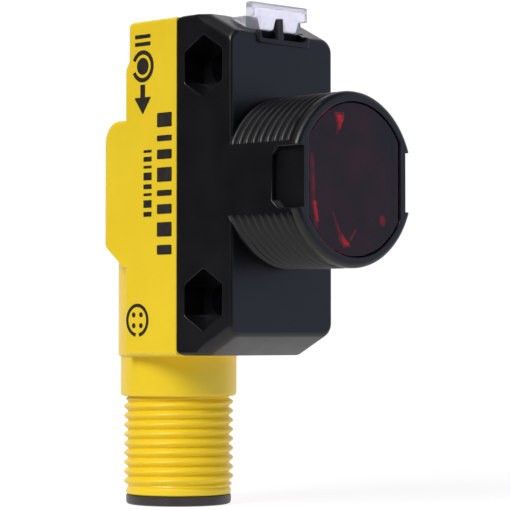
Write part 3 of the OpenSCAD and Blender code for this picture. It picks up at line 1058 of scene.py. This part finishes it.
def post_outline(grow):
    """Post between the legs, in (X, Z), narrower at its tip."""
    foot = POST_HALF_FOOT + grow
    tip = POST_HALF_TIP + grow
    base = SLOT_FLOOR + PLAY
    top = FIN_BASE - 0.03
    return [(-foot, base), (foot, base), (tip, top), (-tip, top)]


def indicator_baffle():
    """Black insert in the slot: a plate set back under the legs, with a tapered post between them."""
    top = RECESS_FLOOR - PLAY
    low = SLOT_FLOOR + 2 * PLAY
    half = SLOT_HALF - 0.12
    side = [(PLATE_BACK - PLATE_T, top), (PLATE_BACK, top), (PLATE_BACK, low), (PLATE_BACK - PLATE_EDGE, low)]
    plate = prism("X", side, -half, half)
    post = eased_prism("Y", post_outline, PLATE_BACK - PLAY, POST_Y, 0.08)
    combine(plate, "UNION", [post])
    finish(plate, "indicator_baffle_post", NYLON, ["indicator_baffle"])


# ---------------------------------------------------------------- connector insert
def pin_wells(floor_z):
    """Cutters for the four pins: a close hole through the insert and a shallow well at its floor."""
    wells = []
    for number in range(1, 5):
        low, high = box_mm("contact_pin_%d" % number)
        centre = ((low.x + high.x) / 2, (low.y + high.y) / 2)
        pin_r = (high.x - low.x) / 2
        hole = circle(pin_r + HAIR, 32, centre)
        well = circle(pin_r + WELL_GAP, 32, centre)
        wells.append(prism("Z", hole, floor_z - PAST, INSERT_HIGH.z + PAST))
        wells.append(prism("Z", well, floor_z - PAST, floor_z + WELL_DEPTH))
    return wells


def connector_insert():
    """Dark insulator: a deep cup with a rounded rim, a key rib and clearance round each pin."""
    end = INSERT_LOW.z
    floor_z = end + CUP_DEPTH
    rim_r = INSERT_RIM_R
    tube_r = SHELL_R - PLAY
    shoulder = RIM_TOP - 0.04
    body = lathe(
        [(0, floor_z), (CUP_R - 0.1, floor_z), (CUP_R, floor_z - 0.1), (CUP_R, end + 0.45),
         (CUP_R + 0.3, end + 0.08), (CUP_R + 0.5, end), (rim_r - 0.35, end), (rim_r - 0.1, end + 0.1),
         (rim_r, end + 0.35), (rim_r, RIM_TOP - 0.12), (rim_r - 0.12, shoulder), (tube_r, shoulder),
         (tube_r, INSERT_HIGH.z), (0, INSERT_HIGH.z)],
        (0, CONNECTOR_Y), 128,
    )
    wall_y = CONNECTOR_Y - CUP_R
    key = rounded(rect(-KEY_HALF, wall_y - 0.3, KEY_HALF, wall_y + 0.6), (0, 0, 0.2, 0.2))
    combine(body, "UNION", [prism("Z", key, end + 0.5, floor_z + 0.3)])
    combine(body, "DIFFERENCE", pin_wells(floor_z))
    finish(body, "connector_insert_cup", DARK_NYLON, ["connector_insert"])


# ---------------------------------------------------------------- printed marks
def mark(name, outlines):
    """Thin print on the left side; each outline is drawn in (Y, Z)."""
    prints = [prism("X", outline, -HALF_W - INK_T, -HALF_W + INK_ROOT) for outline in outlines]
    combine(prints[0], "UNION", prints[1:])
    finish(prints[0], name, INK)


def ring_outline(radius, width, centre, start, stop, steps=24):
    """Arc band as one outline, angles in degrees."""
    angles = [math.radians(start + (stop - start) * i / steps) for i in range(steps + 1)]

    def arc(r):
        return [(centre[0] + r * math.cos(a), centre[1] + r * math.sin(a)) for a in angles]

    return arc(radius) + arc(radius - width)[::-1]


def emitter_mark():
    """Pictogram of a light source: a ringed dot under two lines, with an arrow that points down."""
    y, z = EMITTER_AT
    dot_r = 0.9
    ring_r = 1.7
    ring_t = 0.45
    shaft_half = 0.36
    shaft = rect(y - shaft_half, ARROW_BASE - 0.5, y + shaft_half, z - ring_r - 0.25)
    head_half = 1.3
    head = [(y - head_half, ARROW_BASE), (y + head_half, ARROW_BASE), (y, ARROW_TIP)]
    line_half = 1.2
    line_t = 0.4
    lines = [rect(y - line_half, z + up, y + line_half, z + up + line_t) for up in (2.15, 2.95)]
    outlines = [circle(dot_r, 40, EMITTER_AT), ring_outline(ring_r, ring_t, EMITTER_AT, 25, 335)]
    outlines += [rounded(outline, INK_CORNER, steps=3) for outline in [shaft, head] + lines]
    mark("side_mark_emitter", outlines)


def column_mark(name, span, top, gap, heights, corner, steps):
    """Column of bars from the top down, in place of printed text."""
    outlines = []
    for height in heights:
        outlines.append(rounded(rect(span[0], top - height, span[1], top), corner, steps))
        top -= height + gap
    mark(name, outlines)


def pin_mark():
    """Face of the connector: a ring that opens at the key, with four dots."""
    ring_r = 1.75
    ring_t = 0.36
    dot_r = 0.27
    dots_r = 0.8
    outlines = [ring_outline(ring_r, ring_t, PINS_AT, -80, 260, steps=48)]
    for i in range(PIN_DOTS):
        turn = math.pi / 4 + 2 * math.pi * i / PIN_DOTS
        dot = (PINS_AT[0] + dots_r * math.cos(turn), PINS_AT[1] + dots_r * math.sin(turn))
        outlines.append(circle(dot_r, 20, dot))
    mark("side_mark_pins", outlines)


front_housing()
rear_housing()
front_window()
# Painted red reflections in the window: glowing glints, soft halos round them and fainter lines
add_painted_glints("window_painted_glints_bright", PAINTED_BRIGHT_GLINTS, PAINTED_GLINT, 0)
painted_glint_halos = [grown(painted_glint, HALO_SIZE) for painted_glint in PAINTED_BRIGHT_GLINTS]
add_painted_glints("window_painted_glints_halo", painted_glint_halos, PAINTED_FAINT_GLINT, HALO_BACK)
add_painted_glints("window_painted_glints_faint", PAINTED_FAINT_GLINTS, PAINTED_FAINT_GLINT, FAINT_BACK)
indicator_cap()
indicator_legs()
indicator_baffle()
connector_insert()
emitter_mark()
column_mark("side_mark_bars", BAR_SPAN, BAR_TOP, BAR_GAP, BAR_HEIGHTS, corner=0.12, steps=3)
column_mark("side_mark_ticks", TICK_SPAN, TICK_TOP, TICK_GAP, TICK_HEIGHTS, corner=0.05, steps=2)
pin_mark()


# ---------------------------------------------------------------- floor, light and camera
def direction(azimuth, elevation):
    """Unit vector towards a place round the object: azimuth 0 is in front of the lens."""
    a = math.radians(azimuth)
    e = math.radians(elevation)
    return Vector((math.sin(a) * math.cos(e), -math.cos(a) * math.cos(e), math.sin(e)))


def floor():
    """Plain pale floor that glows, more for the camera than for the object's reflections."""
    level = INSERT_LOW.z - HAIR
    profile = [(0, level - FLOOR_T), (FLOOR_R, level - FLOOR_T), (FLOOR_R, level), (0, level)]
    plane = lathe(profile, (0, CONNECTOR_Y), 128)
    plane.name = "studio_floor"
    plane.data.transform(Matrix.Scale(MM, 4))
    material, tree, shader = new_material("pale_floor")
    tint = blend_colours(tree, noise(tree, 90), (0.18, 0.18, 0.18), (0.21, 0.21, 0.21))
    tree.links.new(tint, shader.inputs["Base Color"])
    shader.inputs["Roughness"].default_value = 0.9
    shader.inputs["Specular IOR Level"].default_value = 0.0
    shader.inputs["Emission Color"].default_value = (1, 1, 1, 1)
    path = tree.nodes.new("ShaderNodeLightPath")
    seen = tree.nodes.new("ShaderNodeMapRange")
    seen.inputs["To Min"].default_value = FLOOR_GLOW
    seen.inputs["To Max"].default_value = FLOOR_SEEN
    tree.links.new(path.outputs["Is Camera Ray"], seen.inputs["Value"])
    tree.links.new(seen.outputs["Result"], shader.inputs["Emission Strength"])
    plane.data.materials.append(material)


def softbox(name, azimuth, elevation, distance, size, power, colour=(1, 1, 1)):
    """Round soft light, aimed at the object; distance and size in metres, power in watts."""
    data = bpy.data.lights.new(name, "AREA")
    data.shape = "DISK"
    data.size = size
    data.energy = power
    data.color = colour
    light = bpy.data.objects.new(name, data)
    away = direction(azimuth, elevation)
    light.location = away * distance
    light.rotation_euler = away.to_track_quat("Z", "Y").to_euler()
    bpy.context.scene.collection.objects.link(light)


def background(tree, colour, strength=1.0):
    node = tree.nodes.new("ShaderNodeBackground")
    node.inputs["Color"].default_value = (*colour, 1)
    node.inputs["Strength"].default_value = strength
    return node


def glow_towards(tree, towards, inner, outer, low, high):
    """Brightness that falls from high to low between two angles, in degrees, from a direction."""
    coordinates = tree.nodes.new("ShaderNodeTexCoord")
    facing = tree.nodes.new("ShaderNodeVectorMath")
    facing.operation = "DOT_PRODUCT"
    facing.inputs[1].default_value = towards
    tree.links.new(coordinates.outputs["Generated"], facing.inputs[0])
    fall = tree.nodes.new("ShaderNodeMapRange")
    fall.interpolation_type = "SMOOTHSTEP"
    fall.inputs["From Min"].default_value = math.cos(math.radians(outer))
    fall.inputs["From Max"].default_value = math.cos(math.radians(inner))
    fall.inputs["To Min"].default_value = low
    fall.inputs["To Max"].default_value = high
    tree.links.new(facing.outputs["Value"], fall.inputs["Value"])
    return fall.outputs["Result"]


def studio_world():
    """White backdrop for the camera; as light, bright behind the object, bluish to one side, else dim."""
    world = bpy.data.worlds.new("studio")
    bpy.context.scene.world = world
    world.use_nodes = True
    tree = world.node_tree
    tree.nodes.clear()
    output = tree.nodes.new("ShaderNodeOutputWorld")
    mixer = tree.nodes.new("ShaderNodeMixShader")
    path = tree.nodes.new("ShaderNodeLightPath")
    either = tree.nodes.new("ShaderNodeMath")
    either.operation = "MAXIMUM"
    tree.links.new(path.outputs["Is Camera Ray"], either.inputs[0])
    tree.links.new(path.outputs["Is Transmission Ray"], either.inputs[1])
    tree.links.new(either.outputs[0], mixer.inputs["Fac"])

    backdrop = background(tree, (1, 1, 1), WORLD_SEEN)
    lit = background(tree, (0.98, 0.94, 1.0))
    sky = background(tree, (0.62, 0.72, 1.0))
    behind = glow_towards(
        tree, direction(CAMERA_AZIMUTH + 180, -8), inner=38, outer=82, low=WORLD_DIM, high=WORLD_BRIGHT,
    )
    aside = glow_towards(
        tree, direction(CAMERA_AZIMUTH + 90, 0), inner=20, outer=60, low=0.0, high=WORLD_SIDE,
    )
    tree.links.new(behind, lit.inputs["Strength"])
    tree.links.new(aside, sky.inputs["Strength"])
    total = tree.nodes.new("ShaderNodeAddShader")
    tree.links.new(lit.outputs[0], total.inputs[0])
    tree.links.new(sky.outputs[0], total.inputs[1])
    tree.links.new(total.outputs[0], mixer.inputs[1])
    tree.links.new(backdrop.outputs[0], mixer.inputs[2])
    tree.links.new(mixer.outputs[0], output.inputs["Surface"])


def camera():
    """Camera at the photo's angle and distance."""
    data = bpy.data.cameras.new("camera")
    data.lens = CAMERA_LENS
    data.sensor_width = CAMERA_SENSOR
    data.clip_start = 0.005
    data.clip_end = 50
    away = direction(CAMERA_AZIMUTH, CAMERA_ELEVATION)
    view = bpy.data.objects.new("camera", data)
    view.location = (CAMERA_AIM + away * CAMERA_DISTANCE) * MM
    view.rotation_euler = away.to_track_quat("Z", "Y").to_euler()
    bpy.context.scene.collection.objects.link(view)
    bpy.context.scene.camera = view


floor()
studio_world()
softbox("key", azimuth=-84, elevation=38, distance=0.45, size=0.26, power=1.76)
softbox("top", azimuth=-60, elevation=75, distance=0.5, size=0.35, power=0.4)
softbox("front_fill", azimuth=12, elevation=8, distance=0.6, size=0.4, power=0.2, colour=(0.8, 0.88, 1.0))
camera()
bpy.context.scene.view_settings.view_transform = "Standard"
